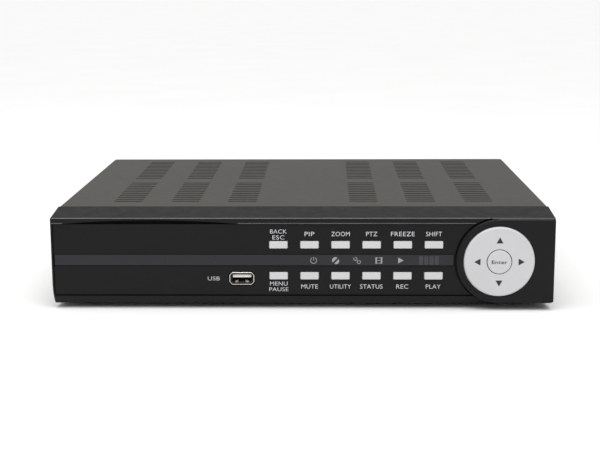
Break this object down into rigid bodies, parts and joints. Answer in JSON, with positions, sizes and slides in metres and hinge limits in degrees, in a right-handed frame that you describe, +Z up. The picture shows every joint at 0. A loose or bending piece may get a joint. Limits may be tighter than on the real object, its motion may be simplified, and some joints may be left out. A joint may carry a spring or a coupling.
{
  "type": "digital video recorder",
  "caption": "Black video recorder with a slotted steel cover, rows of grey function keys, a round four-way ring with enter key, front USB and rear video sockets.",
  "frame": {"origin": "under the middle of the whole recorder, on the surface that its feet stand on", "axes": "+X to the right seen from the front, +Y from the front to the back, +Z up"},
  "size_m": [0.3, 0.24, 0.0595],
  "materials": {
    "black_abs": "fine satin moulded black ABS",
    "plate_black": "satin black inlay plate",
    "smoked_acrylic": "smoked translucent strip",
    "key_grey": "light grey moulded plastic",
    "painted_steel": "dark grey-brown powder-coated sheet steel",
    "tray_steel": "black painted sheet steel",
    "screw_steel": "black zinc-plated screws",
    "rubber": "matt black rubber",
    "nickel": "nickel-plated sockets",
    "ivory_plastic": "ivory contact tongue",
    "clear_acrylic": "clear light pipes",
    "board_green": "green circuit board",
    "aluminium": "cast and extruded aluminium",
    "cell_steel": "bright steel cell can",
    "ribbon_grey": "grey flat cable",
    "cable_red": "red cable jacket",
    "cable_black": "black cable jacket",
    "socket_white": "white audio socket",
    "socket_red": "red audio socket",
    "terminal_green": "green terminal block"
  },
  "bodies": {
    "chassis": {"front_bezel": "black_abs", "faceplate": "plate_black", "indicator_window": "smoked_acrylic", "usb_front_shell": "nickel", "usb_front_tongue": "ivory_plastic", "light_guide": "clear_acrylic", "ir_receiver": "smoked_acrylic", "dome_mat": "rubber", "key_board": "board_green", "chassis_tray": "tray_steel", "top_cover": "painted_steel", "cover_screw_left_front": "screw_steel", "cover_screw_left_back": "screw_steel", "cover_screw_right_front": "screw_steel", "cover_screw_right_back": "screw_steel", "cover_screw_rear_left": "screw_steel", "cover_screw_rear_right": "screw_steel", "foot_left_front": "rubber", "foot_left_back": "rubber", "foot_right_front": "rubber", "foot_right_back": "rubber", "main_board": "board_green", "heatsink": "aluminium", "coin_cell": "cell_steel", "hard_disk": "aluminium", "disk_board": "board_green", "ribbon_cable": "ribbon_grey", "sata_data_cable": "cable_red", "sata_power_cable": "cable_black", "fan_frame": "black_abs", "video_in_1": "nickel", "video_in_2": "nickel", "video_in_3": "nickel", "video_in_4": "nickel", "video_out": "nickel", "audio_in": "socket_white", "audio_out": "socket_red", "vga_socket": "nickel", "lan_socket": "nickel", "usb_rear_shell": "nickel", "dc_jack": "black_abs", "power_switch_body": "black_abs", "terminal_block": "terminal_green"},
    "key_back_press": {"key_back": "key_grey"},
    "key_pip_press": {"key_pip": "key_grey"},
    "key_zoom_press": {"key_zoom": "key_grey"},
    "key_ptz_press": {"key_ptz": "key_grey"},
    "key_freeze_press": {"key_freeze": "key_grey"},
    "key_sequence_press": {"key_sequence": "key_grey"},
    "key_menu_press": {"key_menu": "key_grey"},
    "key_mute_press": {"key_mute": "key_grey"},
    "key_utility_press": {"key_utility": "key_grey"},
    "key_status_press": {"key_status": "key_grey"},
    "key_record_press": {"key_record": "key_grey"},
    "key_play_press": {"key_play": "key_grey"},
    "enter_key_press": {"enter_key": "key_grey"},
    "ring_gimbal": {"ring_carrier": "black_abs"},
    "ring": {"navigation_ring": "key_grey"},
    "fan": {"fan_rotor": "black_abs"},
    "rocker": {"power_rocker": "black_abs"}
  },
  "joints": [
    {"name": "key_back_travel", "type": "slide", "parent": "chassis", "child": "key_back_press", "axis": [0, 1, 0], "range_m": [0, 0.0007], "stiffness_N_per_m": 1500},
    {"name": "key_pip_travel", "type": "slide", "parent": "chassis", "child": "key_pip_press", "axis": [0, 1, 0], "range_m": [0, 0.0007], "stiffness_N_per_m": 1500},
    {"name": "key_zoom_travel", "type": "slide", "parent": "chassis", "child": "key_zoom_press", "axis": [0, 1, 0], "range_m": [0, 0.0007], "stiffness_N_per_m": 1500},
    {"name": "key_ptz_travel", "type": "slide", "parent": "chassis", "child": "key_ptz_press", "axis": [0, 1, 0], "range_m": [0, 0.0007], "stiffness_N_per_m": 1500},
    {"name": "key_freeze_travel", "type": "slide", "parent": "chassis", "child": "key_freeze_press", "axis": [0, 1, 0], "range_m": [0, 0.0007], "stiffness_N_per_m": 1500},
    {"name": "key_sequence_travel", "type": "slide", "parent": "chassis", "child": "key_sequence_press", "axis": [0, 1, 0], "range_m": [0, 0.0007], "stiffness_N_per_m": 1500},
    {"name": "key_menu_travel", "type": "slide", "parent": "chassis", "child": "key_menu_press", "axis": [0, 1, 0], "range_m": [0, 0.0007], "stiffness_N_per_m": 1500},
    {"name": "key_mute_travel", "type": "slide", "parent": "chassis", "child": "key_mute_press", "axis": [0, 1, 0], "range_m": [0, 0.0007], "stiffness_N_per_m": 1500},
    {"name": "key_utility_travel", "type": "slide", "parent": "chassis", "child": "key_utility_press", "axis": [0, 1, 0], "range_m": [0, 0.0007], "stiffness_N_per_m": 1500},
    {"name": "key_status_travel", "type": "slide", "parent": "chassis", "child": "key_status_press", "axis": [0, 1, 0], "range_m": [0, 0.0007], "stiffness_N_per_m": 1500},
    {"name": "key_record_travel", "type": "slide", "parent": "chassis", "child": "key_record_press", "axis": [0, 1, 0], "range_m": [0, 0.0007], "stiffness_N_per_m": 1500},
    {"name": "key_play_travel", "type": "slide", "parent": "chassis", "child": "key_play_press", "axis": [0, 1, 0], "range_m": [0, 0.0007], "stiffness_N_per_m": 1500},
    {"name": "enter_key_travel", "type": "slide", "parent": "chassis", "child": "enter_key_press", "axis": [0, 1, 0], "range_m": [0, 0.0007], "stiffness_N_per_m": 1500},
    {"name": "ring_left_right", "type": "hinge", "parent": "chassis", "child": "ring_gimbal", "pos_m": [0.117, -0.1124, 0.0301], "axis": [0, 0, 1], "range_deg": [-1.2, 1.2], "stiffness_Nm_per_rad": 1.2},
    {"name": "ring_up_down", "type": "hinge", "parent": "ring_gimbal", "child": "ring", "pos_m": [0.117, -0.1124, 0.0301], "axis": [1, 0, 0], "range_deg": [-1.2, 1.2], "stiffness_Nm_per_rad": 1.2},
    {"name": "fan_spin", "type": "hinge", "parent": "chassis", "child": "fan", "pos_m": [-0.1207, 0.0944, 0.029], "axis": [0, 1, 0], "continuous": true},
    {"name": "power_rocker_tip", "type": "hinge", "parent": "chassis", "child": "rocker", "pos_m": [-0.0796, 0.1047, 0.0294], "axis": [1, 0, 0], "range_deg": [0, 18]}
  ]
}
